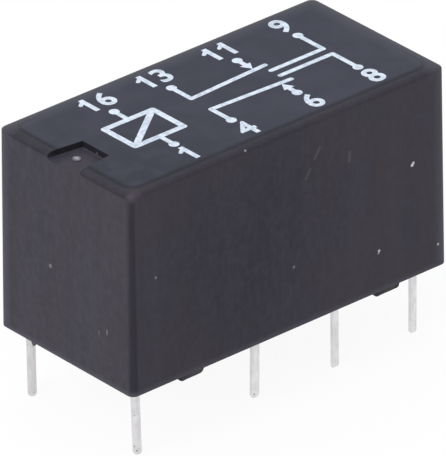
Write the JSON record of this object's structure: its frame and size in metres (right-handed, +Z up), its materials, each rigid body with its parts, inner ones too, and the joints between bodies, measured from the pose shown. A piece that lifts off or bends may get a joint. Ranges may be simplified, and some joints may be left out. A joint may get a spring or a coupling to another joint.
{
  "type": "relay",
  "caption": "Miniature sealed printed-circuit relay with two change-over contacts, a notched black case and round and blade pins.",
  "frame": {"origin": "centre of the pin pattern, at the level of the pin tips, which is the centre of the bottom of the whole box", "axes": "+X runs along the body away from the coil pins and the notch, +Y across it to the rear row of pins, +Z up from the circuit board"},
  "size_m": [0.0202, 0.0098, 0.0148],
  "materials": {
    "case_plastic": "black moulded polyester, fine matt",
    "base_plastic": "black moulded polyester",
    "resin": "cast epoxy, glossy",
    "bobbin_plastic": "natural moulded polymer",
    "enamelled_wire": "copper wire with clear enamel",
    "nickel_plated_iron": "nickel-plated soft iron",
    "tinned_copper": "copper alloy, tin plated",
    "spring_bronze": "phosphor bronze strip",
    "contact_silver": "silver alloy, polished"
  },
  "bodies": {
    "housing": {"cover": "case_plastic", "base": "base_plastic", "sealing_resin": "resin", "bobbin": "bobbin_plastic", "coil_winding": "enamelled_wire", "core": "nickel_plated_iron", "yoke": "nickel_plated_iron", "coil_terminal_front": "tinned_copper", "coil_terminal_rear": "tinned_copper", "coil_lead_front": "enamelled_wire", "coil_lead_rear": "enamelled_wire", "common_terminal_front": "tinned_copper", "common_terminal_rear": "tinned_copper", "closed_terminal_front": "tinned_copper", "closed_terminal_rear": "tinned_copper", "open_terminal_front": "tinned_copper", "open_terminal_rear": "tinned_copper", "closed_contact_front": "contact_silver", "closed_contact_rear": "contact_silver", "open_contact_front": "contact_silver", "open_contact_rear": "contact_silver"},
    "armature_unit": {"armature": "nickel_plated_iron", "actuator_card": "bobbin_plastic"},
    "front_spring": {"contact_spring_front": "spring_bronze", "moving_contact_front": "contact_silver"},
    "rear_spring": {"contact_spring_rear": "spring_bronze", "moving_contact_rear": "contact_silver"},
    "return_leaf": {"return_spring": "spring_bronze"}
  },
  "joints": [
    {"name": "armature_hinge", "type": "hinge", "parent": "housing", "child": "armature_unit", "pos_m": [-0.0015, 0, 0.00612], "axis": [0, -1, 0], "range_deg": [0, 3.3], "stiffness_Nm_per_rad": 0.0006, "springref_deg": -14.32},
    {"name": "contact_spring_front_flex", "type": "hinge", "parent": "housing", "child": "front_spring", "pos_m": [-0.00175, -0.003, 0.0086], "axis": [0, -1, 0], "range_deg": [0, 3.11]},
    {"name": "contact_spring_rear_flex", "type": "hinge", "parent": "housing", "child": "rear_spring", "pos_m": [-0.00175, 0.003, 0.0086], "axis": [0, -1, 0], "range_deg": [0, 3.11]},
    {"name": "return_spring_flex", "type": "hinge", "parent": "housing", "child": "return_leaf", "pos_m": [0.009, 0, 0.00756], "axis": [0, 1, 0], "range_deg": [0, 2.1]}
  ],
  "couplings": [
    {"joint": "contact_spring_front_flex", "follows": "armature_hinge", "ratio": 0.94},
    {"joint": "contact_spring_rear_flex", "follows": "armature_hinge", "ratio": 0.94},
    {"joint": "return_spring_flex", "follows": "armature_hinge", "ratio": 0.62}
  ]
}
